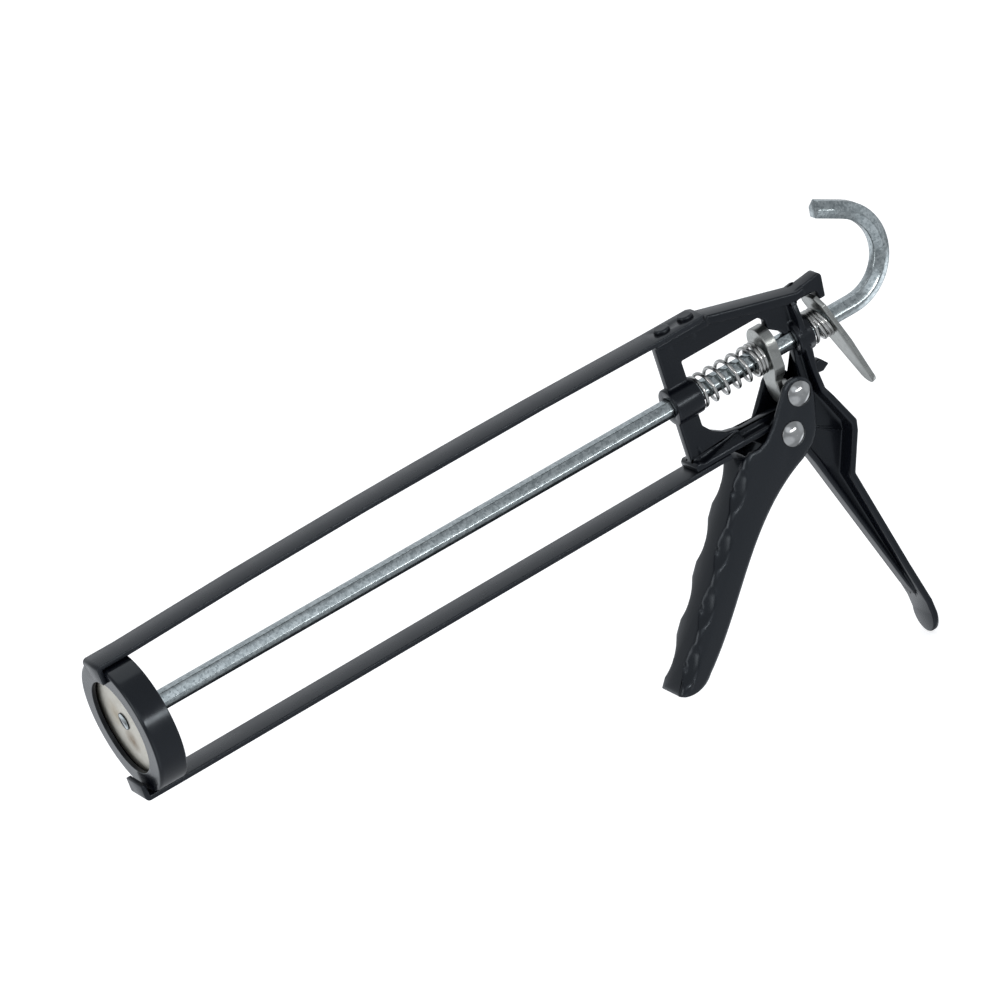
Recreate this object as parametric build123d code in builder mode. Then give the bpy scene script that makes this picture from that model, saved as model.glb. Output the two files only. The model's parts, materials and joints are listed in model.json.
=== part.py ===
from build123d import *
import math
import os

# Caulking gun for one standard 300 to 310 ml cartridge. Millimetres.
# +X runs from the nozzle end to the hook, +Z is up, and Y is across the gun.
# The origin is the centre of the nozzle opening, on the front face of the collar.

# Collar that holds the front of the cartridge
cartridge_bore = 50.8        # inside diameter of the collar
collar_sheet = 1.6           # sheet thickness of the collar
collar_depth = 11.6
nozzle_opening = 38.4        # diameter of the hole for the nozzle
collar_rim = 1.3             # rounding of the front edge

# Push rod, six-sided bar
rod_flats = 7.0              # across the flats
rod_rise = 1.6               # rod centre above the centre of the collar
hook_start = 337.6           # where the bar starts to bend
hook_radius = 19.7           # centre line of the bend
hook_turn = 152.0            # degrees
hook_tail = 12.6             # straight end of the hook
plunger_front = 2.3          # front face of the plunger disc
plunger_sheet = 1.2
plunger_diameter = 45.0
plunger_rim = 4.5
plunger_washer_diameter = 20.0
plunger_washer_thickness = 1.5
spigot_diameter = 5.6
peened_head = 7.0
peened_head_height = 0.5

# Rails of the open cradle
rail_width = 13.0
rail_thickness = 2.0
top_tab = 5.6                # how far the top rail reaches down over the collar
bottom_tab = 5.0             # the same at the bottom, where the tab stands off
bottom_tab_gap = 1.4
top_rail_mid = 30.2          # underside of the top rail halfway along
rail_seat = 29.4             # underside of the top rail on the casting
bottom_seat = 25.5           # top face of the bottom rail below the origin, on the casting
top_rail_end = 275.2
bottom_rail_end = 266.0
rail_rivet_spacing = 10.9
rail_rivet_head = 6.6
rail_rivet_shank = 3.4
rail_rivet_height = 1.5

# Casting: frame, rod guides and rear grip
post_front = 252.0
web_thickness = 4.0
window_top = 17.0
seat_half_width = 5.9
beam_half_width = 6.2
rear_flange_half_width = 10.0
post_half_width = 7.2        # rear flange beside the rod
grip_edge_half_width = 3.6
overhang_half_width = 3.2
foot_half_width = 7.5
foot_bottom = 139.2
guide_diameter = 15.0        # bosses around the rod
front_guide = (250.8, 262.8)
rear_guide = (308.4, 315.6)
guide_clearance = 0.25       # gap between rod and the holes it slides in

# Trigger: pressed steel channel
trigger_width = 17.0
trigger_sheet = 1.8
spine_tip = Vector(210.6, 0, -104.4)
spine_top = Vector(269.8, 0, -29.7)
finger_dents = (13.0, 36.4, 59.8, 83.2)    # centres of the dents, up from the tip
dent_radius = 20.0
dent_depth = 3.1
grip_fill_length = 88.0
pivot_x, pivot_z = 292.4, -30.2
pusher_x, pusher_z = 300.3, -16.4
trigger_rivet_shank = 5.0
trigger_rivet_head = 10.2
dome_height = 2.5
tail_head = 8.4
tail_height = 1.6
tail_washer = 11.0
tail_washer_thickness = 1.0
pivot_boss = 14.0
shim_thickness = 0.8
shim_diameter = 11.0
pin_clearance = 0.05
side_gap = 0.25
pusher_sleeve_diameter = 6.6

# Plates that grip the rod
drive_plate_thickness = 4.6  # around the rod
drive_tongue_thickness = 2.4 # where the trigger pushes on it
drive_plate_width = 15.4
drive_plate_top = 11.6       # above the rod centre
drive_plate_tip = 21.2       # below the rod centre
drive_tongue_width = 10.0
release_plate_thickness = 2.0
release_plate_width = 15.4
release_tilt = 17.0          # degrees
release_top_x, release_top_z = 321.6, 14.0
release_length = 47.6
release_tip_width = 8.4

# Springs
wire = 1.45
spring_radius = 6.25         # centre line of the wire
closed_pitch = 1.52

web_half = web_thickness / 2
rod_half = rod_flats / 2
collar_radius = cartridge_bore / 2 + collar_sheet
cheek_outside = trigger_width / 2
cheek_inside = cheek_outside - trigger_sheet
plate_rear = pusher_x - pusher_sleeve_diameter / 2 - 0.3
plate_front = plate_rear - drive_tongue_thickness


def rod_hex(clearance=0.0):
    """Six-sided outline with its flats up and down."""
    return RegularPolygon(rod_half + clearance, 6, major_radius=False)


def across(x):
    """Plane across the rod at x, centred on the rod, looking to the rear."""
    return Plane((x, 0, rod_rise), x_dir=(0, 1, 0), z_dir=(1, 0, 0))


# ---------------------------------------------------------------- front collar
with BuildPart() as front_collar:
    with BuildSketch(Plane.YZ):
        Circle(collar_radius)
    extrude(amount=collar_depth)
    with BuildSketch(Plane.YZ.offset(collar_sheet)):
        Circle(cartridge_bore / 2)
    extrude(amount=collar_depth, mode=Mode.SUBTRACT)
    with BuildSketch(Plane.YZ):
        Circle(nozzle_opening / 2)
    extrude(amount=collar_sheet, mode=Mode.SUBTRACT)
    rims = front_collar.edges().filter_by(GeomType.CIRCLE).sort_by(SortBy.RADIUS)[-2:]
    fillet(rims.sort_by(Axis.X)[-1], 0.4)
    fillet(rims.sort_by(Axis.X)[0], collar_rim)
front_collar.part.label = "front_collar"

# ---------------------------------------------------------------- rails
with BuildPart() as top_rail:
    with BuildSketch(Plane.XZ) as top_rail_side:
        with BuildLine():
            low = Polyline((0, collar_radius - top_tab), (0, collar_radius),
                           (collar_depth, collar_radius))
            bow = ThreePointArc(low @ 1, (150, top_rail_mid), (post_front, rail_seat))
            end = Polyline(bow @ 1, (top_rail_end, rail_seat),
                           (top_rail_end, rail_seat + rail_thickness),
                           (post_front, rail_seat + rail_thickness))
            back = ThreePointArc(end @ 1, (150, top_rail_mid + rail_thickness),
                                 (collar_depth, collar_radius + rail_thickness))
            Polyline(back @ 1, (-rail_thickness, collar_radius + rail_thickness),
                     (-rail_thickness, collar_radius - top_tab), low @ 0)
        make_face()
    extrude(amount=rail_width / 2, both=True)
    fillet(top_rail.edges().filter_by(Axis.Y).sort_by_distance(
        (-rail_thickness, 0, collar_radius + rail_thickness))[0], 1.9)
    chamfer(top_rail.edges().filter_by(Axis.Z).sort_by(Axis.X)[-2:], 1.6)
    rivet_spots = [(post_front + 6.7, 0), (post_front + 6.7 + rail_rivet_spacing, 0)]
    with Locations(*[(x, y, rail_seat + rail_thickness) for x, y in rivet_spots]):
        Hole(rail_rivet_shank / 2 + pin_clearance, depth=rail_thickness)
top_rail.part.label = "top_rail"

with BuildPart() as bottom_rail:
    with BuildSketch(Plane.XZ):
        with BuildLine():
            tab_back = -bottom_tab_gap
            tab_front = tab_back - rail_thickness
            Polyline((tab_back, -collar_radius + bottom_tab), (tab_back, -collar_radius),
                     (collar_depth, -collar_radius), (post_front, -bottom_seat),
                     (bottom_rail_end, -bottom_seat),
                     (bottom_rail_end, -bottom_seat - rail_thickness),
                     (post_front, -bottom_seat - rail_thickness),
                     (collar_depth, -collar_radius - rail_thickness),
                     (tab_front, -collar_radius - rail_thickness),
                     (tab_front, -collar_radius + bottom_tab), close=True)
        make_face()
    extrude(amount=rail_width / 2, both=True)
    fillet(bottom_rail.edges().filter_by(Axis.Y).sort_by_distance(
        (tab_front, 0, -collar_radius - rail_thickness))[0], 1.9)
    with Locations((post_front + 3.5, 0, -bottom_seat),
                   (post_front + 10.0, 0, -bottom_seat)):
        Hole(rail_rivet_shank / 2 + pin_clearance, depth=rail_thickness)
bottom_rail.part.label = "bottom_rail"

# ---------------------------------------------------------------- casting
# Flange down the back of the frame and grip, with the rounded foot.
with BuildPart() as rear_flange:
    with BuildSketch(Plane.XZ):
        with BuildLine():
            outer = Polyline((313.2, 16.4), (311.6, -19.8), (319.3, -37.8),
                             (318.3, -42.2), (311.3, -57.6), (325.6, -124.0),
                             (326.0, -130.0), (324.8, -foot_bottom))
            Polyline(outer @ 1, (322.6, -foot_bottom), (323.4, -130.0),
                     (323.0, -124.4), (308.8, -58.6), (308.9, -57.0), (315.6, -42.2),
                     (316.5, -38.6), (309.2, -20.6), (310.8, 16.4), outer @ 0)
        make_face()
    extrude(amount=rear_flange_half_width, both=True)
    with BuildSketch(Plane.YZ):
        with BuildLine():
            foot = ThreePointArc((-foot_half_width, -foot_bottom + 9),
                                 (0, -foot_bottom), (foot_half_width, -foot_bottom + 9))
            Polyline(foot @ 1, (foot_half_width, -foot_bottom + 16),
                     (rear_flange_half_width - 2.4, -foot_bottom + 34),
                     (rear_flange_half_width, -foot_bottom + 82),
                     (rear_flange_half_width, -24.0), (post_half_width, -13.0),
                     (post_half_width, 10.0), (seat_half_width, 17.0),
                     (-seat_half_width, 17.0), (-post_half_width, 10.0),
                     (-post_half_width, -13.0), (-rear_flange_half_width, -24.0),
                     (-rear_flange_half_width, -foot_bottom + 82),
                     (-rear_flange_half_width + 2.4, -foot_bottom + 34),
                     (-foot_half_width, -foot_bottom + 16), foot @ 0)
        make_face()
    extrude(amount=400, mode=Mode.INTERSECT)
    fillet(rear_flange.edges().filter_by(Axis.Y).sort_by_distance(
        (319.3, 0, -37.8))[0:1], 2.0)

with BuildPart() as handle_casting:
    # Web: the whole side outline of frame and grip.
    with BuildSketch(Plane.XZ):
        with BuildLine():
            Polyline((252.9, rail_seat), (275.6, rail_seat), (276.2, rail_seat + 0.6),
                     (315.0, 19.8), (328.5, 21.9), (327.0, 11.4),
                     (324.2, 11.4), (323.8, 15.2), (316.5, 15.0), (312.4, 14.0),
                     (310.0, -20.6), (317.4, -38.4), (317.0, -42.2),
                     (310.0, -58.0), (323.8, -124.6), (319.4, -115.0),
                     (299.6, -48.4), (296.6, -40.0), (286.0, -36.0), (276.0, -bottom_seat),
                     (251.0, -bottom_seat), close=True)
        make_face()
        # window between the posts
        with BuildLine(mode=Mode.PRIVATE) as window_edge:
            Polyline((261.4, window_top), (297.4, window_top), (300.0, 14.4),
                     (299.4, 11.0), (305.0, 7.0), (307.6, -1.0), (305.8, -12.0),
                     (305.4, -21.0), (276.0, -20.2), (268.9, -18.4), (263.9, -15.2),
                     (260.6, -11.0), close=True)
        make_face(window_edge.edges(), mode=Mode.SUBTRACT)
    extrude(amount=web_half, both=True)
    # Flange under the top rail, and the ridge behind it.
    with BuildSketch(Plane.XZ):
        with BuildLine():
            Polyline((251.6, rail_seat), (275.6, rail_seat), (275.6, rail_seat - 3.2),
                     (254.0, rail_seat - 2.6), (251.6, rail_seat - 1.4), close=True)
        make_face()
    extrude(amount=seat_half_width, both=True)
    with BuildSketch(Plane.XZ):
        with BuildLine():
            Polyline((275.6, rail_seat - 3.2), (275.6, rail_seat), (276.2, rail_seat + 0.6),
                     (315.0, 19.8), (318.6, 20.3), (318.6, 17.2), (312.0, 16.0),
                     close=True)
        make_face()
    extrude(amount=seat_half_width - 0.7, both=True)
    # Rear overhang with the notch that holds the top of the release plate.
    with BuildSketch(Plane.XZ):
        with BuildLine():
            Polyline((312.0, 16.0), (315.0, 19.8), (328.5, 21.9), (327.0, 11.4),
                     (324.2, 11.4), (323.8, 15.2), close=True)
        make_face()
    extrude(amount=overhang_half_width, both=True)
    fillet(handle_casting.edges().filter_by(Axis.Y).sort_by_distance((328.5, 0, 21.9))[0], 1.8)
    # Bottom beam: a flange on the bottom rail, with a slanting gusset up to the web.
    with BuildSketch(Plane.XZ):
        with BuildLine():
            Polyline((250.2, -bottom_seat), (250.2, -23.4), (251.4, -22.2),
                     (253.0, -22.4), (254.2, -23.2), (285.6, -23.2),
                     (285.0, -bottom_seat), close=True)
        make_face()
    extrude(amount=beam_half_width, both=True)
    with BuildSketch(Plane.XZ):
        with BuildLine():
            Polyline((253.6, -23.4), (273.6, -20.2), (273.6, -23.4), close=True)
        make_face()
    extrude(amount=beam_half_width, both=True)
    with BuildSketch(Plane.YZ.offset(254.4)):
        with BuildLine():
            Polyline((web_half, -20.0), (beam_half_width, -23.2),
                     (beam_half_width + 1, -20.0), close=True)
        make_face()
        mirror(about=Plane.YZ)
    extrude(amount=20.0, mode=Mode.SUBTRACT)
    # Edge of the grip on the finger side.
    with BuildSketch(Plane.XZ):
        with BuildLine():
            Polyline((299.6, -48.4), (319.4, -115.0), (321.6, -121.0), (321.8, -117.0),
                     (302.0, -48.4), (298.6, -38.6), (296.6, -40.0), close=True)
        make_face()
    extrude(amount=grip_edge_half_width, both=True)
    add(rear_flange.part)
    # Guides around the rod.
    with BuildSketch(across(front_guide[0])):
        Circle(guide_diameter / 2)
    extrude(amount=front_guide[1] - front_guide[0])
    with BuildSketch(across(rear_guide[0])):
        Circle(guide_diameter / 2)
    extrude(amount=rear_guide[1] - rear_guide[0])
    with BuildSketch(across(front_guide[0] - 1)):
        rod_hex(guide_clearance)
    extrude(amount=80, mode=Mode.SUBTRACT)
    # Boss for the trigger pivot.
    with BuildSketch(Plane.XZ):
        with Locations((pivot_x, pivot_z)):
            Circle(pivot_boss / 2)
    extrude(amount=cheek_inside - shim_thickness - side_gap, both=True)
    with BuildSketch(Plane.XZ):
        with Locations((pivot_x, pivot_z)):
            Circle(trigger_rivet_shank / 2 + pin_clearance)
    extrude(amount=trigger_width, both=True, mode=Mode.SUBTRACT)
    # Lug behind the rear post, and the stiffening rib on the grip web.
    with BuildSketch(Plane.XZ):
        with BuildLine():
            Polyline((309.4, -11.6), (316.6, -11.2), (319.6, -14.8), (316.4, -16.6),
                     (310.6, -15.8), close=True)
        make_face()
    extrude(amount=web_half, both=True)
    with BuildSketch(Plane.XZ):
        with BuildLine():
            Polyline((302.6, -33.6), (315.4, -41.6), (315.0, -42.4), (302.2, -34.4), close=True)
        make_face()
    extrude(amount=web_half + 1.0, both=True)
    # Rivet holes in the seats of both rails.
    with Locations(*[(x, y, rail_seat) for x, y in rivet_spots]):
        Hole(rail_rivet_shank / 2 + pin_clearance, depth=7.0)
    with Locations((post_front + 3.5, 0, -bottom_seat),
                   (post_front + 10.0, 0, -bottom_seat)):
        with Locations((0, 0, 3.0)):
            Hole(rail_rivet_shank / 2 + pin_clearance, depth=5.0)
handle_casting.part.label = "handle_casting"

# ---------------------------------------------------------------- rail rivets
with BuildPart() as top_rail_rivets:
    with BuildSketch(Plane.XY.offset(rail_seat + rail_thickness)):
        with Locations(*rivet_spots):
            Circle(rail_rivet_head / 2)
    extrude(amount=rail_rivet_height)
    fillet(top_rail_rivets.edges().group_by(Axis.Z)[-1], 0.8)
    with BuildSketch(Plane.XY.offset(rail_seat + rail_thickness)):
        with Locations(*rivet_spots):
            Circle(rail_rivet_shank / 2)
    extrude(amount=-(rail_thickness + 6.0))
top_rail_rivets.part.label = "top_rail_rivets"

with BuildPart() as bottom_rail_rivets:
    lower_spots = [(post_front + 3.5, 0), (post_front + 10.0, 0)]
    with BuildSketch(Plane.XY.offset(-bottom_seat - rail_thickness)):
        with Locations(*lower_spots):
            Circle(5.6 / 2)
    extrude(amount=-1.2)
    fillet(bottom_rail_rivets.edges().group_by(Axis.Z)[0], 0.7)
    with BuildSketch(Plane.XY.offset(-bottom_seat - rail_thickness)):
        with Locations(*lower_spots):
            Circle(rail_rivet_shank / 2)
    extrude(amount=rail_thickness + 2.6)
bottom_rail_rivets.part.label = "bottom_rail_rivets"

# ---------------------------------------------------------------- push rod and plunger
washer_back = plunger_front + plunger_sheet + plunger_washer_thickness
with BuildPart() as push_rod:
    with BuildLine() as rod_line:
        straight = Line((washer_back, 0, rod_rise), (hook_start, 0, rod_rise))
        with BuildLine(Plane((hook_start, 0, rod_rise + hook_radius), x_dir=(1, 0, 0),
                             z_dir=(0, -1, 0))):
            bend = CenterArc((0, 0), hook_radius, -90, hook_turn)
        tail = Line(bend @ 1, (bend @ 1) + (bend % 1) * hook_tail)
    with BuildSketch(across(washer_back)):
        rod_hex()
    sweep(path=rod_line.line)
    with BuildSketch(across(washer_back)):
        Circle(spigot_diameter / 2)
    extrude(amount=-(washer_back - plunger_front))
    with BuildSketch(across(plunger_front)):
        Circle(peened_head / 2)
    extrude(amount=-peened_head_height)
push_rod.part.label = "push_rod"

with BuildPart() as plunger_disc:
    with BuildSketch(across(plunger_front)):
        Circle(plunger_diameter / 2)
    extrude(amount=plunger_rim)
    fillet(plunger_disc.edges().group_by(Axis.X)[0], 1.2)
    with BuildSketch(across(plunger_front + plunger_sheet)):
        Circle(plunger_diameter / 2 - plunger_sheet)
    extrude(amount=plunger_rim, mode=Mode.SUBTRACT)
    with BuildSketch(across(plunger_front)):
        Circle(spigot_diameter / 2 + pin_clearance)
    extrude(amount=plunger_sheet, mode=Mode.SUBTRACT)
plunger_disc.part.label = "plunger_disc"

with BuildPart() as plunger_washer:
    with BuildSketch(across(plunger_front + plunger_sheet)):
        Circle(plunger_washer_diameter / 2)
        Circle(spigot_diameter / 2 + pin_clearance, mode=Mode.SUBTRACT)
    extrude(amount=plunger_washer_thickness)
plunger_washer.part.label = "plunger_washer"

# ---------------------------------------------------------------- trigger
with BuildPart() as trigger:
    with BuildSketch(Plane.XZ) as cheek_side:
        with BuildLine():
            front = Polyline((spine_tip.X, spine_tip.Z), (spine_top.X, spine_top.Z), (272.6, -28.4),
                             (276.6, -28.8), (280.6, -27.4), (285.4, -23.4), (293.4, -13.4))
            crown = ThreePointArc(front @ 1, (299.8, -9.6), (306.6, -15.4))
            back = Polyline(crown @ 1, (306.4, -20.6), (302.4, -33.6), (299.0, -38.0),
                            (293.0, -41.6))
            rear = Spline(back @ 1, (264.6, -60.6), (246.8, -80.2), (225.8, -101.8))
            ThreePointArc(rear @ 1, (218.0, -106.0), front @ 0)
        make_face()
    extrude(amount=cheek_outside, both=True)
    spine_edges = trigger.edges().filter_by(Plane.XZ).filter_by(
        GeomType.LINE).sort_by_distance((238, 0, -71))[0:2]
    fillet(spine_edges, 2.6)
    with BuildSketch(Plane.XZ):
        with BuildLine():
            Polyline((214.2, -108.4), (212.4, -105.1), (271.6, -30.3), (267.0, -20.0),
                     (290.0, 0.0), (320.0, -4.0), (320.0, -52.0), (240.0, -120.0),
                     close=True)
        make_face()
    extrude(amount=cheek_inside, both=True, mode=Mode.SUBTRACT)
    # Finger grips: four dents in each corner of the channel, with the inner corner filled.
    corner_fill = dent_depth + 1.4
    spine_run = (spine_top - spine_tip).normalized()
    spine_out = Vector(-spine_run.Z, 0, spine_run.X)
    fill_start = spine_tip + spine_run * 4 - spine_out * (trigger_sheet - 0.2)
    with BuildSketch(Plane(fill_start, x_dir=(0, 1, 0), z_dir=spine_run)):
        for side in (-1, 1):
            with BuildLine():
                Polyline((side * cheek_inside, 0), (side * (cheek_inside - corner_fill), 0),
                         (side * cheek_inside, -corner_fill), close=True)
            make_face()
    extrude(amount=grip_fill_length)
    corners = [spine_tip + spine_run * reach + Vector(0, side * cheek_outside, 0)
               + (spine_out + Vector(0, side, 0)).normalized() * (dent_radius - dent_depth)
               for reach in finger_dents for side in (-1, 1)]
    with Locations(*corners):
        Sphere(dent_radius, mode=Mode.SUBTRACT)
    with BuildSketch(Plane.XZ):
        with Locations((pivot_x, pivot_z), (pusher_x, pusher_z)):
            Circle(trigger_rivet_shank / 2 + pin_clearance)
    extrude(amount=trigger_width, both=True, mode=Mode.SUBTRACT)
trigger.part.label = "trigger"


def dome_rivet(x, z):
    """Rivet across the trigger: domed head near side, flat formed head far side."""
    with BuildPart() as rivet:
        with BuildSketch(Plane.XZ.offset(cheek_outside)):
            with Locations((x, z)):
                Circle(trigger_rivet_head / 2)
        extrude(amount=0.5)
        sphere_radius = ((trigger_rivet_head / 2) ** 2 + (dome_height - 0.5) ** 2) / (
            2 * (dome_height - 0.5))
        with BuildSketch(Plane((x, -cheek_outside - 0.5, z), x_dir=(1, 0, 0),
                               z_dir=(0, 0, 1))) as dome:
            with BuildLine():
                Line((0, 0), (trigger_rivet_head / 2, 0))
                RadiusArc((trigger_rivet_head / 2, 0), (0, -(dome_height - 0.5)),
                          sphere_radius)
                Line((0, -(dome_height - 0.5)), (0, 0))
            make_face()
        revolve(axis=Axis((x, 0, z), (0, 1, 0)))
        with BuildSketch(Plane.XZ.offset(cheek_outside)):
            with Locations((x, z)):
                Circle(trigger_rivet_shank / 2)
        extrude(amount=-(trigger_width + tail_washer_thickness))
        with BuildSketch(Plane.XZ.offset(-cheek_outside - tail_washer_thickness)):
            with Locations((x, z)):
                Circle(tail_head / 2)
        extrude(amount=-tail_height)
        fillet(rivet.edges().group_by(Axis.Y)[-1], 0.9)
    return rivet.part


trigger_pivot_rivet = dome_rivet(pivot_x, pivot_z)
trigger_pivot_rivet.label = "trigger_pivot_rivet"
pusher_rivet = dome_rivet(pusher_x, pusher_z)
pusher_rivet.label = "pusher_rivet"

with BuildPart() as rivet_washers:
    with BuildSketch(Plane.XZ.offset(-cheek_outside)):
        with Locations((pivot_x, pivot_z), (pusher_x, pusher_z)):
            Circle(tail_washer / 2)
            Circle(trigger_rivet_shank / 2 + pin_clearance, mode=Mode.SUBTRACT)
    extrude(amount=-tail_washer_thickness)
rivet_washers.part.label = "rivet_washers"

with BuildPart() as pivot_shims:
    with BuildSketch(Plane.XZ.offset(cheek_inside)):
        with Locations((pivot_x, pivot_z)):
            Circle(shim_diameter / 2)
            Circle(trigger_rivet_shank / 2 + pin_clearance, mode=Mode.SUBTRACT)
    extrude(amount=-shim_thickness)
    mirror(about=Plane.XZ)
pivot_shims.part.label = "pivot_shims"

with BuildPart() as pusher_sleeve:
    with BuildSketch(Plane.XZ):
        with Locations((pusher_x, pusher_z)):
            Circle(pusher_sleeve_diameter / 2)
            Circle(trigger_rivet_shank / 2 + pin_clearance, mode=Mode.SUBTRACT)
    extrude(amount=cheek_inside - 0.1, both=True)
pusher_sleeve.part.label = "pusher_sleeve"

# ---------------------------------------------------------------- plates on the rod
with BuildPart() as drive_plate:
    with BuildSketch(across(plate_front)):
        with BuildLine():
            half = drive_plate_width / 2
            tip = drive_tongue_width / 2
            crown = ThreePointArc((half, drive_plate_top - half), (0, drive_plate_top),
                                  (-half, drive_plate_top - half))
            left = Polyline(crown @ 1, (-half, -5.0), (-tip, -10.5),
                            (-tip, -drive_plate_tip + tip))
            toe = ThreePointArc(left @ 1, (0, -drive_plate_tip), (tip, -drive_plate_tip + tip))
            Polyline(toe @ 1, (tip, -10.5), (half, -5.0), crown @ 0)
        make_face()
    extrude(amount=drive_plate_thickness)
    with BuildSketch(Plane.XZ):
        with BuildLine():
            thin = plate_front + drive_tongue_thickness
            Polyline((thin, -30.0), (thin, -9.4), (thin + 6.0, -3.4), (thin + 6.0, -30.0),
                     close=True)
        make_face()
    extrude(amount=drive_plate_width, both=True, mode=Mode.SUBTRACT)
    with BuildSketch(across(plate_front)):
        rod_hex(guide_clearance)
    extrude(amount=drive_plate_thickness, mode=Mode.SUBTRACT)
    fillet(drive_plate.faces().sort_by(Axis.X)[0].outer_wire().edges(), 0.5)
drive_plate.part.label = "drive_plate"

tilt = math.radians(release_tilt)
release_face = Plane((release_top_x, 0, release_top_z), x_dir=(0, 1, 0),
                     z_dir=(math.cos(tilt), 0, math.sin(tilt)))
drop = release_top_z - rod_rise
slope = release_plate_thickness / 2 * math.sin(tilt)
hole_top = (drop - rod_half - slope) / math.cos(tilt) - guide_clearance - 0.1
hole_bottom = (drop + rod_half + slope) / math.cos(tilt) + guide_clearance
hole_side = rod_flats / math.sqrt(3) + guide_clearance
with BuildPart() as release_plate:
    with BuildSketch(release_face):
        with BuildLine():
            half = release_plate_width / 2
            tip = release_tip_width / 2
            head = Polyline((5.0, 0.0), (-5.0, 0.0), (-half, -4.0), (-half, -24.0),
                            (-tip, -release_length + tip))
            toe = ThreePointArc(head @ 1, (0, -release_length), (tip, -release_length + tip))
            Polyline(toe @ 1, (half, -24.0), (half, -4.0), head @ 0)
        make_face()
    extrude(amount=release_plate_thickness / 2, both=True)
    with BuildSketch(release_face):
        with Locations((0, -(hole_top + hole_bottom) / 2)):
            Rectangle(2 * hole_side, hole_bottom - hole_top)
    extrude(amount=release_plate_thickness, both=True, mode=Mode.SUBTRACT)
release_plate.part.label = "release_plate"

# ---------------------------------------------------------------- springs
def coil(start, end, turns, closed_front, closed_rear, lean=0.0):
    """Wire spring on the rod, closed at both ends; the rear turns lean with their plate."""
    free = (end - start - wire - closed_pitch * (closed_front + closed_rear)) / (
        turns - closed_front - closed_rear)
    steps = 8
    x = start + wire / 2
    points = []
    for i in range(int(turns * steps) + 1):
        turn = i / steps
        angle = 2 * math.pi * turn
        share = min(max((turn - closed_front) / (turns - closed_front - closed_rear), 0), 1)
        rise = spring_radius * math.sin(angle)
        points.append((x - lean * share * rise, spring_radius * math.cos(angle),
                       rod_rise + rise))
        closed = turn < closed_front or turn >= turns - closed_rear
        x += (closed_pitch if closed else free) / steps
    with BuildPart() as spring:
        with BuildLine() as helix:
            Spline(*points)
        with BuildSketch(Plane(helix.line @ 0, z_dir=helix.line % 0)):
            Circle(wire / 2)
        sweep(path=helix.line)
    return spring.part


thrust_spring = coil(front_guide[1], plate_front, 8.0, 0.75, 2.5)
thrust_spring.label = "thrust_spring"
release_rest = release_top_x + drop * math.tan(tilt) - (
    release_plate_thickness / 2 + 0.1) / math.cos(tilt)
release_spring = coil(rear_guide[1], release_rest, 4.0, 0.6, 2.2, math.tan(tilt))
release_spring.label = "release_spring"

# ---------------------------------------------------------------- files
os.makedirs("parts", exist_ok=True)
export_step(handle_casting.part, "parts/handle_casting.step")
export_step(front_collar.part, "parts/front_collar.step")
export_step(top_rail.part, "parts/top_rail.step")
export_step(bottom_rail.part, "parts/bottom_rail.step")
export_step(top_rail_rivets.part, "parts/top_rail_rivets.step")
export_step(bottom_rail_rivets.part, "parts/bottom_rail_rivets.step")
export_step(push_rod.part, "parts/push_rod.step")
export_step(plunger_disc.part, "parts/plunger_disc.step")
export_step(plunger_washer.part, "parts/plunger_washer.step")
export_step(trigger.part, "parts/trigger.step")
export_step(trigger_pivot_rivet, "parts/trigger_pivot_rivet.step")
export_step(pusher_rivet, "parts/pusher_rivet.step")
export_step(pusher_sleeve.part, "parts/pusher_sleeve.step")
export_step(rivet_washers.part, "parts/rivet_washers.step")
export_step(pivot_shims.part, "parts/pivot_shims.step")
export_step(drive_plate.part, "parts/drive_plate.step")
export_step(release_plate.part, "parts/release_plate.step")
export_step(thrust_spring, "parts/thrust_spring.step")
export_step(release_spring, "parts/release_spring.step")
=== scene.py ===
import json
import math

import bmesh
import bpy
from mathutils import Matrix, Vector


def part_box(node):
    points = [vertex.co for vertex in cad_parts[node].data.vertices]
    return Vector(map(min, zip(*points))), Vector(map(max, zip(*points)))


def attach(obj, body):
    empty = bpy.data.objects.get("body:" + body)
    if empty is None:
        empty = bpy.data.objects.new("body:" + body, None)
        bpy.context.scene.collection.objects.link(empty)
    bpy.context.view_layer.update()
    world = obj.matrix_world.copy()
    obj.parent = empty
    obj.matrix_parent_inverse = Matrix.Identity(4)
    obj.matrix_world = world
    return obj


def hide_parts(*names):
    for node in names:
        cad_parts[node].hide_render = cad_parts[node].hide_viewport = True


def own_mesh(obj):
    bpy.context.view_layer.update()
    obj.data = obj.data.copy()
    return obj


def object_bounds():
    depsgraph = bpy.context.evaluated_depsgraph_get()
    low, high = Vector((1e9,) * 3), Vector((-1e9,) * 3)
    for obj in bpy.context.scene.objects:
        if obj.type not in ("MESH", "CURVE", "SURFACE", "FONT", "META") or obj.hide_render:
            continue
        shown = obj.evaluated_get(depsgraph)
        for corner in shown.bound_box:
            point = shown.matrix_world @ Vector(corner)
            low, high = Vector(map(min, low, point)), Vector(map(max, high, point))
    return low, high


bl_info = {
    "name": "Caulking gun looks",
    "version": (1, 0, 0),
    "blender": (4, 5, 0),
    "location": "View3D > Sidebar > Gun",
    "description": "Finishes and small rounded edges for an open cradle caulking gun",
    "category": "Object",
}

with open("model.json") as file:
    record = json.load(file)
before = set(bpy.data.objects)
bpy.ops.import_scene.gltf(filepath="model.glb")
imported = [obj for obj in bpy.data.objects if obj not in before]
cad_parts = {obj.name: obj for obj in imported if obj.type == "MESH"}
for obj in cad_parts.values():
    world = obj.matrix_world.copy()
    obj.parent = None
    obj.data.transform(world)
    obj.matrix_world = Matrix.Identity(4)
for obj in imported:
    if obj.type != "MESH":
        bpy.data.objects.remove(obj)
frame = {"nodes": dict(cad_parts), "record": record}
CAD_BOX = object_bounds()
MM = 0.001

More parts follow.
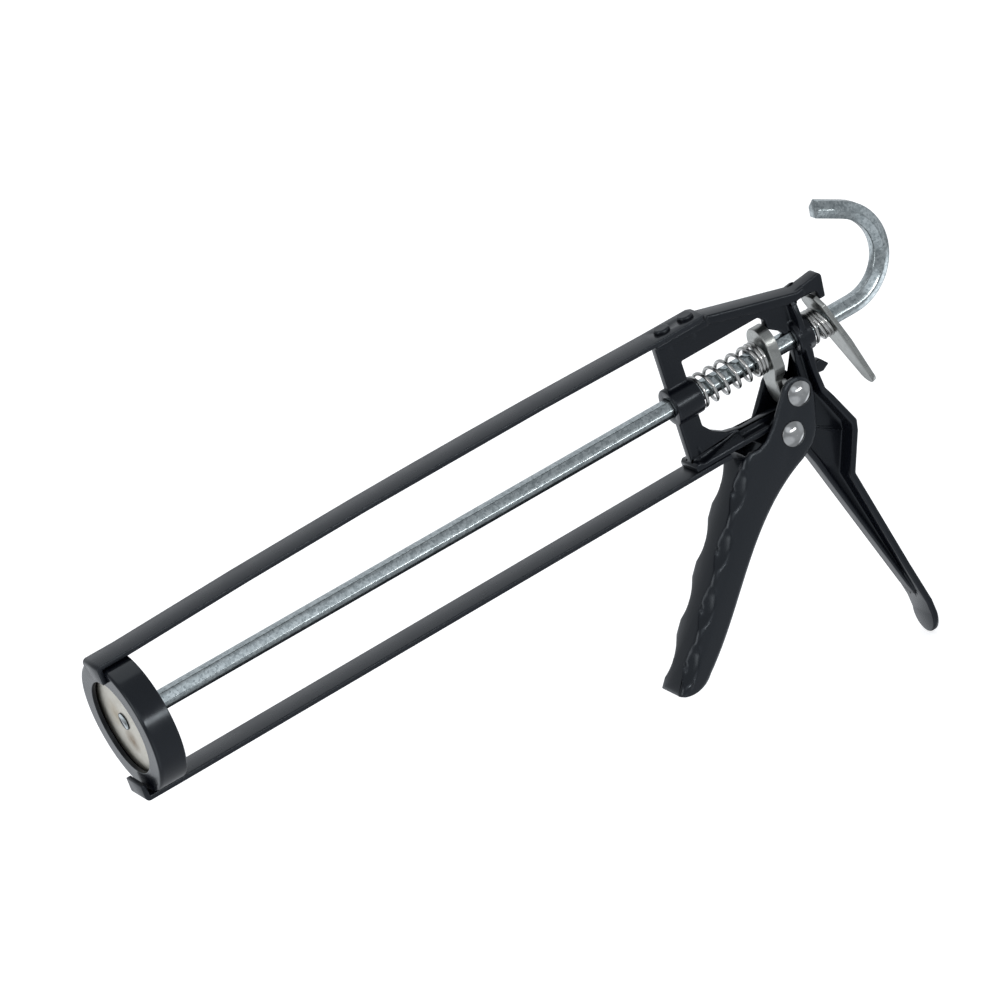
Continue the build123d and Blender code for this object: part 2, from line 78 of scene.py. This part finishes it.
# Soft boxes round the middle of the gun: direction, distance and size in metres, brightness.
GUN_MIDDLE = Vector((0.17, 0, -0.05))
SOFT_BOXES = (
    ("overhead_box", (0.0, 0.25, 1.0), 1.8, (1.6, 1.0), 0.6),
    ("front_strip", (0.28, -0.93, 0.23), 2.6, (1.8, 0.30), 8.0),
    ("left_box", (-1.0, -0.25, 0.35), 1.9, (0.9, 1.2), 1.6))
# Paler panels of the room: direction, cosine where each fades out, cosine where it is full,
# and brightness.
ROOM_PANELS = (
    ((-0.38, 0.85, -0.37), 0.86, 0.98, 0.60),
    ((0.34, -0.85, -0.41), 0.72, 0.97, 0.08),
    ((0.66, 0.05, -0.75), 0.935, 0.985, 1.20),
    ((0.95, -0.30, -0.05), 0.85, 0.97, 0.22),
    ((-0.42, -0.62, -0.62), 0.80, 0.95, 0.34),
    ((0.30, 0.86, 0.41), 0.70, 0.96, 0.30),
    ((-0.20, -0.87, 0.45), 0.93, 0.985, 0.60))
# Camera: place in metres, then degrees to the right of +Y, down, and rolled.
CAMERA_PLACE = (-0.63667, -2.03854, 0.98557)
CAMERA_ANGLES = (21.65, 24.12, -20.64)
FLOOR_RADIUS = 12.0
FLOOR_GAP = 0.5 * MM


# ---------------------------------------------------------------- helpers
def linear(colour):
    """sRGB hex such as "2A2B2D" as linear RGBA."""
    parts = [int(colour[i:i + 2], 16) / 255 for i in (0, 2, 4)]
    return tuple(c / 12.92 if c <= 0.04045 else ((c + 0.055) / 1.055) ** 2.4 for c in parts) + (1,)


def add(tree, kind, links=None, **settings):
    """A node with its settings; links maps an input to a value or to another node's output."""
    made = tree.nodes.new(kind)
    for name, value in settings.items():
        setattr(made, name, value)
    for name, value in (links or {}).items():
        if isinstance(value, bpy.types.NodeSocket):
            tree.links.new(value, made.inputs[name])
        else:
            made.inputs[name].default_value = value
    return made


def material(name, **shader):
    """An empty material with its shader; settings are set on the shader's own sockets."""
    made = bpy.data.materials.new(name)
    made.use_nodes = True
    tree = made.node_tree
    tree.nodes.clear()
    surface = add(tree, "ShaderNodeBsdfPrincipled", shader)
    add(tree, "ShaderNodeOutputMaterial", {"Surface": surface.outputs["BSDF"]})
    return made, tree, surface


def per_mm(size):
    """Texture scale for a pattern of that size in millimetres, on coordinates in metres."""
    return 1 / (size * MM)


def mix_colours(tree, share, first, second):
    """A blend of two colours, each given as a colour or as another node's output."""
    blend = add(tree, "ShaderNodeMix", {"Factor": share}, data_type="RGBA")
    for socket, value in zip((s for s in blend.inputs if s.type == "RGBA"), (first, second)):
        if isinstance(value, bpy.types.NodeSocket):
            tree.links.new(value, socket)
        else:
            socket.default_value = value
    return next(s for s in blend.outputs if s.type == "RGBA")


def edge_mask(tree, radius, low, high):
    """0 on flats and 1 on edges, from how far the rounded normal turns from the real one."""
    rounded = add(tree, "ShaderNodeBevel", {"Radius": radius * MM}, samples=6)
    flat = add(tree, "ShaderNodeNewGeometry")
    turn = add(tree, "ShaderNodeVectorMath", operation="DOT_PRODUCT")
    tree.links.new(rounded.outputs["Normal"], turn.inputs[0])
    tree.links.new(flat.outputs["Normal"], turn.inputs[1])
    return add(tree, "ShaderNodeMapRange", {
        "Value": turn.outputs["Value"], "From Min": high, "From Max": low,
        "To Min": 0.0, "To Max": 1.0}).outputs["Result"]


# ---------------------------------------------------------------- finishes
def black_enamel(name, colour, edge_colour, roughness, peel_size, peel_height, cast_height,
                 rounding, ior):
    """Black stoving enamel: a dark glossy coat that thins to grey on edges."""
    made, tree, surface = material(name, **{"IOR": ior, "Specular Tint": (0.86, 0.94, 1.0, 1.0)})
    place = add(tree, "ShaderNodeTexCoord").outputs["Object"]
    # brushed-on variation of the coat, patches of about 14 mm
    patches = add(tree, "ShaderNodeTexNoise", {
        "Vector": place, "Scale": per_mm(14), "Detail": 4.0, "Roughness": 0.6})
    gloss = add(tree, "ShaderNodeMapRange", {
        "Value": patches.outputs["Fac"], "From Min": 0.3, "From Max": 0.7,
        "To Min": roughness - 0.05, "To Max": roughness + 0.07})
    # handling marks, ragged patches of about 3.5 mm
    scuffs = add(tree, "ShaderNodeTexNoise", {
        "Vector": place, "Scale": per_mm(3.5), "Detail": 8.0, "Roughness": 0.75,
        "Distortion": 0.6})
    scuffed = add(tree, "ShaderNodeMapRange", {
        "Value": scuffs.outputs["Fac"], "From Min": 0.60, "From Max": 0.72,
        "To Min": 0.0, "To Max": 0.5})
    edges = edge_mask(tree, 0.7, 0.80, 0.985)
    worn = add(tree, "ShaderNodeMath", {0: edges, 1: scuffs.outputs["Fac"]},
               operation="MULTIPLY")
    tint = mix_colours(tree, worn.outputs["Value"], linear(colour), linear(edge_colour))
    tree.links.new(tint, surface.inputs["Base Color"])
    rough = add(tree, "ShaderNodeMath", {0: gloss.outputs["Result"], 1: 0.12}, operation="ADD")
    mix = add(tree, "ShaderNodeMix", {
        "Factor": scuffed.outputs["Result"], "A": gloss.outputs["Result"],
        "B": rough.outputs["Value"]}, data_type="FLOAT")
    tree.links.new(mix.outputs["Result"], surface.inputs["Roughness"])
    # orange peel of the coat over the grain of the metal under it
    peel = add(tree, "ShaderNodeTexNoise", {
        "Vector": place, "Scale": per_mm(peel_size), "Detail": 2.0, "Roughness": 0.5})
    grain = add(tree, "ShaderNodeTexNoise", {
        "Vector": place, "Scale": per_mm(5.0), "Detail": 3.0, "Roughness": 0.55})
    soft = add(tree, "ShaderNodeBevel", {"Radius": rounding * MM}, samples=8)
    under = add(tree, "ShaderNodeBump", {
        "Height": grain.outputs["Fac"], "Distance": cast_height * MM, "Strength": 1.0,
        "Normal": soft.outputs["Normal"]})
    over = add(tree, "ShaderNodeBump", {
        "Height": peel.outputs["Fac"], "Distance": peel_height * MM, "Strength": 1.0,
        "Normal": under.outputs["Normal"]})
    tree.links.new(over.outputs["Normal"], surface.inputs["Normal"])
    return made


def bare_metal(name, colour, dark, roughness, cell, streak, bump_height, spread=0.5):
    """Plated or drawn metal: crystal spangle cells and fine lines left by the tools."""
    made, tree, surface = material(name, **{"Metallic": 1.0})
    place = add(tree, "ShaderNodeTexCoord").outputs["Object"]
    cells = add(tree, "ShaderNodeTexVoronoi", {
        "Vector": place, "Scale": per_mm(cell), "Randomness": 1.0})
    cloud = add(tree, "ShaderNodeTexNoise", {
        "Vector": place, "Scale": per_mm(cell * 1.6), "Detail": 6.0, "Roughness": 0.65})
    grey = add(tree, "ShaderNodeSeparateColor", {"Color": cells.outputs["Color"]})
    both = add(tree, "ShaderNodeMath", {
        0: grey.outputs["Red"], 1: cloud.outputs["Fac"]}, operation="MULTIPLY")
    share = add(tree, "ShaderNodeMapRange", {
        "Value": both.outputs["Value"], "From Min": 0.05, "From Max": 0.55,
        "To Min": 0.0, "To Max": spread})
    tint = mix_colours(tree, share.outputs["Result"], linear(colour), linear(dark))
    tree.links.new(tint, surface.inputs["Base Color"])
    # draw lines run along the gun, so the pattern is stretched along X
    stretched = add(tree, "ShaderNodeMapping", {
        "Vector": place, "Scale": (0.04, 1.0, 1.0)})
    lines = add(tree, "ShaderNodeTexNoise", {
        "Vector": stretched.outputs["Vector"], "Scale": per_mm(streak), "Detail": 3.0,
        "Roughness": 0.6})
    gloss = add(tree, "ShaderNodeMapRange", {
        "Value": lines.outputs["Fac"], "From Min": 0.3, "From Max": 0.7,
        "To Min": roughness - 0.06, "To Max": roughness + 0.08})
    tree.links.new(gloss.outputs["Result"], surface.inputs["Roughness"])
    soft = add(tree, "ShaderNodeBevel", {"Radius": 0.3 * MM}, samples=6)
    relief = add(tree, "ShaderNodeMath", {
        0: lines.outputs["Fac"], 1: cloud.outputs["Fac"]}, operation="ADD")
    bump = add(tree, "ShaderNodeBump", {
        "Height": relief.outputs["Value"], "Distance": bump_height * MM, "Strength": 1.0,
        "Normal": soft.outputs["Normal"]})
    tree.links.new(bump.outputs["Normal"], surface.inputs["Normal"])
    return made


def finishes():
    """Every finish of the gun, by the name of its slot."""
    return {
        # cast iron, stove enamelled: semi-gloss black with a faint cast grain under it
        "black_enamel": black_enamel("stoved_black_enamel_on_casting", "0A0C12", "3A3E46",
                                     0.20, 1.6, 0.003, 0.022, 1.1, 1.45),
        # pressed sheet, stove enamelled: the same coat, drawn over rounder corners
        "black_enamel_pressed": black_enamel("stoved_black_enamel_on_pressing", "0A0C12",
                                             "3A3E46", 0.17, 2.0, 0.003, 0.010, 1.8, 1.56),
        # deep drawn sheet, dipped: a deeper gloss that shows the lights as soft bands
        "black_gloss_enamel": black_enamel("dipped_gloss_black_enamel", "0A0C12", "282B32",
                                           0.17, 2.2, 0.003, 0.012, 0.6, 1.5),
        # rolled strip, sprayed thin: satin charcoal
        "black_satin_enamel": black_enamel("sprayed_satin_black_enamel", "101218", "30333A",
                                           0.26, 1.2, 0.003, 0.006, 0.45, 1.5),
        # drawn hexagon bar, zinc plated: blue-grey with cloudy spangle and draw lines
        "galvanised_steel": bare_metal("zinc_plated_drawn_bar", "BCC4C6", "7A8487",
                                       0.17, 0.9, 0.35, 0.0012, 0.75),
        # pressed sheet, tinned: warm pale silver
        "tinned_sheet": bare_metal("tinned_pressed_sheet", "CFCBC0", "B5AE9F",
                                   0.34, 3.5, 0.5, 0.008, 0.45),
        # small stampings, barrel zinc plated: even satin grey
        "zinc_plate": bare_metal("barrel_plated_zinc", "AAACA9", "868886",
                                 0.30, 1.5, 0.3, 0.006, 0.4),
        # tumbled rivets, nickel plated: bright with soft highlights
        "bright_rivet": bare_metal("tumbled_nickel_plate", "B6B7B7", "989A9B",
                                   0.14, 2.0, 0.4, 0.003, 0.3),
        # drawn spring wire, oil drawn: bright
        "spring_wire": bare_metal("bright_drawn_spring_wire", "C8C8C6", "8E8E8C",
                                  0.20, 1.0, 0.2, 0.004, 0.4),
    }


def add_mark(made, place_mm, reach, colour, amount):
    """Blends a soft mark round one point of the piece into the colour of a finish."""
    tree = made.node_tree
    surface = next(n for n in tree.nodes if n.type == "BSDF_PRINCIPLED")
    before = surface.inputs["Base Color"].links[0].from_socket
    place = add(tree, "ShaderNodeTexCoord").outputs["Object"]
    away = add(tree, "ShaderNodeVectorMath", {
        0: place, 1: tuple(v * MM for v in place_mm)}, operation="DISTANCE")
    ragged = add(tree, "ShaderNodeTexNoise", {
        "Vector": place, "Scale": per_mm(3.0), "Detail": 5.0, "Roughness": 0.7})
    fade = add(tree, "ShaderNodeMapRange", {
        "Value": away.outputs["Value"], "From Min": 0.0, "From Max": reach * MM,
        "To Min": amount * 2.0, "To Max": 0.0})
    share = add(tree, "ShaderNodeMath", {
        0: fade.outputs["Result"], 1: ragged.outputs["Fac"]}, operation="MULTIPLY")
    tint = mix_colours(tree, share.outputs["Value"], before, linear(colour))
    tree.links.new(tint, surface.inputs["Base Color"])


FINISH = {}


# ---------------------------------------------------------------- pieces
def body_of_node(name):
    """The moving body that a CAD node belongs to."""
    bodies = frame["record"]["behaviour"]["bodies"]
    return next(body for body, nodes in bodies.items() if name in nodes)


def slot_of_node(name):
    """The material slot that a CAD node has in the record."""
    return next(s["material_slot"] for s in frame["record"]["subparts"] if s["node"] == name)


def softened(node, width, segments=2, angle=28.0):
    """The CAD piece with its edges rounded over by that width, standing in its place."""
    mesh = bpy.data.meshes.new(node + "_soft")
    work = bmesh.new()
    work.from_mesh(frame["nodes"][node].data)
    bmesh.ops.remove_doubles(work, verts=work.verts, dist=0.002 * MM)
    bmesh.ops.dissolve_limit(work, angle_limit=math.radians(0.6), verts=work.verts,
                             edges=work.edges, use_dissolve_boundaries=False)
    sharp = [e for e in work.edges if len(e.link_faces) == 2
             and e.calc_face_angle(0) > math.radians(angle)]
    bmesh.ops.bevel(work, geom=sharp, offset=width, offset_type="OFFSET",
                    segments=segments, profile=0.5, affect="EDGES", clamp_overlap=False,
                    loop_slide=True, miter_outer="ARC", spread=0.0001)
    bmesh.ops.remove_doubles(work, verts=work.verts, dist=0.001 * MM)
    for face in work.faces:
        face.smooth = True
    work.to_mesh(mesh)
    work.free()
    mesh.set_sharp_from_angle(angle=math.radians(40))
    piece = bpy.data.objects.new(node + "_finished", mesh)
    bpy.context.scene.collection.objects.link(piece)
    return dress(piece, node)


def dress(piece, node):
    """Gives a piece the finish of its CAD node's slot and puts it in that node's body, then hides
    the CAD node.
    """
    slot = slot_of_node(node)
    piece.data.materials.clear()
    piece.data.materials.append(FINISH[slot])
    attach(piece, body_of_node(node))
    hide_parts(node)
    return piece


def finish_cad(*nodes):
    """Puts the real finish on CAD pieces that are shown as they are."""
    for name in nodes:
        data = frame["nodes"][name].data
        data.materials.clear()
        data.materials.append(FINISH[slot_of_node(name)])


def settings():
    """The sizes of the edge roundings that a user may change."""
    return bpy.context.scene.caulking_gun


class GunSettings(bpy.types.PropertyGroup):
    """Sizes of the small roundings that the CAD pieces don't carry."""
    casting_edge: bpy.props.FloatProperty(
        name="Casting edge", description="Rounding of the cast edges",
        default=0.55 * MM, min=0.0, max=2.0 * MM, precision=5, unit="LENGTH")
    sheet_edge: bpy.props.FloatProperty(
        name="Sheet edge", description="Rounding of sheared sheet edges",
        default=0.30 * MM, min=0.0, max=1.0 * MM, precision=5, unit="LENGTH")
    bar_edge: bpy.props.FloatProperty(
        name="Bar edge", description="Corner rounding of the drawn bar",
        default=0.40 * MM, min=0.0, max=1.5 * MM, precision=5, unit="LENGTH")


class StageSettings(bpy.types.PropertyGroup):
    """Room and lights."""
    floor_colour: bpy.props.FloatVectorProperty(
        name="Floor", description="Colour of the floor", subtype="COLOR", size=3,
        default=(0.92, 0.92, 0.92), min=0.0, max=1.0)
    lens: bpy.props.FloatProperty(
        name="Lens", description="Focal length of the camera", default=229.42,
        min=20.0, max=400.0, subtype="DISTANCE_CAMERA", unit="CAMERA")
    room_light: bpy.props.FloatProperty(
        name="Room light", description="Brightness of the room around the gun",
        default=0.42, min=0.0, max=5.0)


class GUN_OT_frame(bpy.types.Operator):
    """Finish the cast frame with its grip"""
    bl_idname = "gun.cast_frame"
    bl_label = "Cast frame"

    def execute(self, context):
        softened("handle_casting", settings().casting_edge, 3)
        return {"FINISHED"}


class GUN_OT_collar(bpy.types.Operator):
    """Finish the front collar"""
    bl_idname = "gun.collar"
    bl_label = "Front collar"

    def execute(self, context):
        finish_cad("front_collar")
        return {"FINISHED"}


class GUN_OT_rails(bpy.types.Operator):
    """Finish the two rails and their rivets"""
    bl_idname = "gun.rails"
    bl_label = "Rails"

    def execute(self, context):
        softened("top_rail", settings().sheet_edge)
        softened("bottom_rail", settings().sheet_edge)
        finish_cad("top_rail_rivets", "bottom_rail_rivets")
        return {"FINISHED"}


class GUN_OT_rod(bpy.types.Operator):
    """Finish the push rod with its hook"""
    bl_idname = "gun.push_rod"
    bl_label = "Push rod"

    def execute(self, context):
        softened("push_rod", settings().bar_edge)
        return {"FINISHED"}


class GUN_OT_plunger(bpy.types.Operator):
    """Finish the plunger disc and its washer"""
    bl_idname = "gun.plunger"
    bl_label = "Plunger"

    def execute(self, context):
        finish_cad("plunger_disc", "plunger_washer")
        low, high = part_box("plunger_disc")
        front, centre = low.x / MM, (low.z + high.z) / 2 / MM
        # faint tide marks left on the disc by the plating bath
        add_mark(FINISH["tinned_sheet"], (front, -0.8, centre - 8.2), 6.0, "77603F", 1.0)
        add_mark(FINISH["tinned_sheet"], (front, 6.0, centre + 1.4), 7.0, "A08F6E", 0.7)
        # the peened end is darker where it was struck
        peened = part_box("push_rod")[0].x / MM
        for across in (-2.0, 0.0, 2.0):
            add_mark(FINISH["galvanised_steel"], (peened, across, centre), 1.9, "15181A", 1.0)
        return {"FINISHED"}


class GUN_OT_trigger(bpy.types.Operator):
    """Finish the trigger, its rivets, washers, shims and sleeve"""
    bl_idname = "gun.trigger"
    bl_label = "Trigger"

    def execute(self, context):
        pressing = softened("trigger", settings().sheet_edge)
        pressing.data.materials[0] = FINISH["black_enamel_pressed"]
        finish_cad("trigger_pivot_rivet", "pusher_rivet", "pusher_sleeve",
                   "rivet_washers", "pivot_shims")
        return {"FINISHED"}


class GUN_OT_plates(bpy.types.Operator):
    """Finish the drive plate and the release plate"""
    bl_idname = "gun.plates"
    bl_label = "Plates"

    def execute(self, context):
        finish_cad("drive_plate")
        softened("release_plate", settings().sheet_edge)
        return {"FINISHED"}


class GUN_OT_springs(bpy.types.Operator):
    """Finish the thrust spring and the release spring"""
    bl_idname = "gun.springs"
    bl_label = "Springs"

    def execute(self, context):
        for node, joint, keep in (("thrust_spring", "drive_plate_slide", 0.73),
                                  ("release_spring", "release_hinge", 0.76)):
            mesh = frame["nodes"][node].data.copy()
            piece = bpy.data.objects.new(node + "_wire", mesh)
            context.scene.collection.objects.link(piece)
            dress(piece, node)
            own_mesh(piece)
        return {"FINISHED"}


class GUN_OT_stage(bpy.types.Operator):
    """Floor, lights, room and camera"""
    bl_idname = "gun.stage"
    bl_label = "Stage"

    def execute(self, context):
        scene = context.scene
        stage = scene.gun_stage
        scene.view_settings.view_transform = "Standard"
        scene.view_settings.look = "None"
        # pale floor, lit from within so that it stays even and white
        made, tree, surface = material("matt_white_paper_sweep", **{
            "Roughness": 0.9, "Emission Strength": 0.62,
            "Base Color": tuple(stage.floor_colour) + (1,),
            "Emission Color": (1, 1, 1, 1)})
        fibre = add(tree, "ShaderNodeTexNoise", {
            "Vector": add(tree, "ShaderNodeTexCoord").outputs["Object"],
            "Scale": per_mm(2.0), "Detail": 3.0})
        bump = add(tree, "ShaderNodeBump", {
            "Height": fibre.outputs["Fac"], "Distance": 0.02 * MM})
        tree.links.new(bump.outputs["Normal"], surface.inputs["Normal"])
        mesh = bpy.data.meshes.new("paper_floor")
        work = bmesh.new()
        bmesh.ops.create_circle(work, cap_ends=True, segments=64, radius=FLOOR_RADIUS)
        work.to_mesh(mesh)
        work.free()
        floor = bpy.data.objects.new("paper_floor", mesh)
        floor.location = (GUN_MIDDLE.x, 0, CAD_BOX[0].z - FLOOR_GAP)
        floor.data.materials.append(made)
        floor.visible_glossy = False
        scene.collection.objects.link(floor)
        # soft boxes
        for name, way, far, size, glow in SOFT_BOXES:
            at = GUN_MIDDLE + Vector(way).normalized() * far
            light = bpy.data.lights.new(name, "AREA")
            light.shape, light.size, light.size_y = "RECTANGLE", size[0], size[1]
            light.energy = glow * math.pi * size[0] * size[1]
            lamp = bpy.data.objects.new(name, light)
            lamp.location = at
            lamp.rotation_euler = (GUN_MIDDLE - at).to_track_quat("-Z", "Y").to_euler()
            scene.collection.objects.link(lamp)
        # room: even and dim, with the paler panels of a softly lit studio
        world = bpy.data.worlds.new("pale_room")
        world.use_nodes = True
        scene.world = world
        tree = world.node_tree
        tree.nodes.clear()
        towards = add(tree, "ShaderNodeTexCoord").outputs["Generated"]
        total = stage.room_light
        for way, wide, narrow, bright in ROOM_PANELS:
            aim = Vector(way).normalized()
            facing = add(tree, "ShaderNodeVectorMath", {1: tuple(aim)},
                         operation="DOT_PRODUCT")
            tree.links.new(towards, facing.inputs[0])
            glow = add(tree, "ShaderNodeMapRange", {
                "Value": facing.outputs["Value"], "From Min": wide, "From Max": narrow,
                "To Min": 0.0, "To Max": bright}, interpolation_type="SMOOTHSTEP")
            total = add(tree, "ShaderNodeMath", {
                0: total, 1: glow.outputs["Result"]}, operation="ADD").outputs["Value"]
        room = add(tree, "ShaderNodeBackground", {
            "Color": (0.95, 0.985, 1.03, 1), "Strength": total})
        add(tree, "ShaderNodeOutputWorld", {"Surface": room.outputs["Background"]})
        # camera: to the left of the gun, above it, and rolled
        camera = bpy.data.objects.new("camera", bpy.data.cameras.new("camera"))
        camera.data.sensor_width = 36.0
        camera.data.lens = stage.lens
        camera.data.clip_start, camera.data.clip_end = 0.05, 30.0
        turn, down, roll = (math.radians(v) for v in CAMERA_ANGLES)
        ahead = Vector((math.sin(turn) * math.cos(down), math.cos(turn) * math.cos(down),
                        -math.sin(down)))
        level = ahead.cross(Vector((0, 0, 1))).normalized()
        up = level.cross(ahead)
        right = level * math.cos(roll) + up * math.sin(roll)
        lift = up * math.cos(roll) - level * math.sin(roll)
        axes = Matrix((right, lift, -ahead)).transposed().to_4x4()
        camera.matrix_world = Matrix.Translation(CAMERA_PLACE) @ axes
        scene.collection.objects.link(camera)
        scene.camera = camera
        return {"FINISHED"}


class GUN_PT_panel(bpy.types.Panel):
    """Buttons for each piece of the gun"""
    bl_idname = "GUN_PT_panel"
    bl_label = "Caulking gun"
    bl_space_type = "VIEW_3D"
    bl_region_type = "UI"
    bl_category = "Gun"

    def draw(self, context):
        for group in (context.scene.caulking_gun, context.scene.gun_stage):
            for name in group.bl_rna.properties.keys():
                if name not in ("rna_type", "name"):
                    self.layout.prop(group, name)
        for operator in OPERATORS:
            self.layout.operator(operator.bl_idname)


OPERATORS = (GUN_OT_frame, GUN_OT_collar, GUN_OT_rails, GUN_OT_rod, GUN_OT_plunger,
             GUN_OT_trigger, GUN_OT_plates, GUN_OT_springs, GUN_OT_stage)
CLASSES = (GunSettings, StageSettings) + OPERATORS + (GUN_PT_panel,)


def register():
    for cls in CLASSES:
        bpy.utils.register_class(cls)
    bpy.types.Scene.caulking_gun = bpy.props.PointerProperty(type=GunSettings)
    bpy.types.Scene.gun_stage = bpy.props.PointerProperty(type=StageSettings)


def unregister():
    del bpy.types.Scene.gun_stage
    del bpy.types.Scene.caulking_gun
    for cls in reversed(CLASSES):
        bpy.utils.unregister_class(cls)


def main():
    register()
    FINISH.update(finishes())
    for operator in OPERATORS:
        group, name = operator.bl_idname.split(".")
        getattr(getattr(bpy.ops, group), name)()


if __name__ == "__main__":
    main()
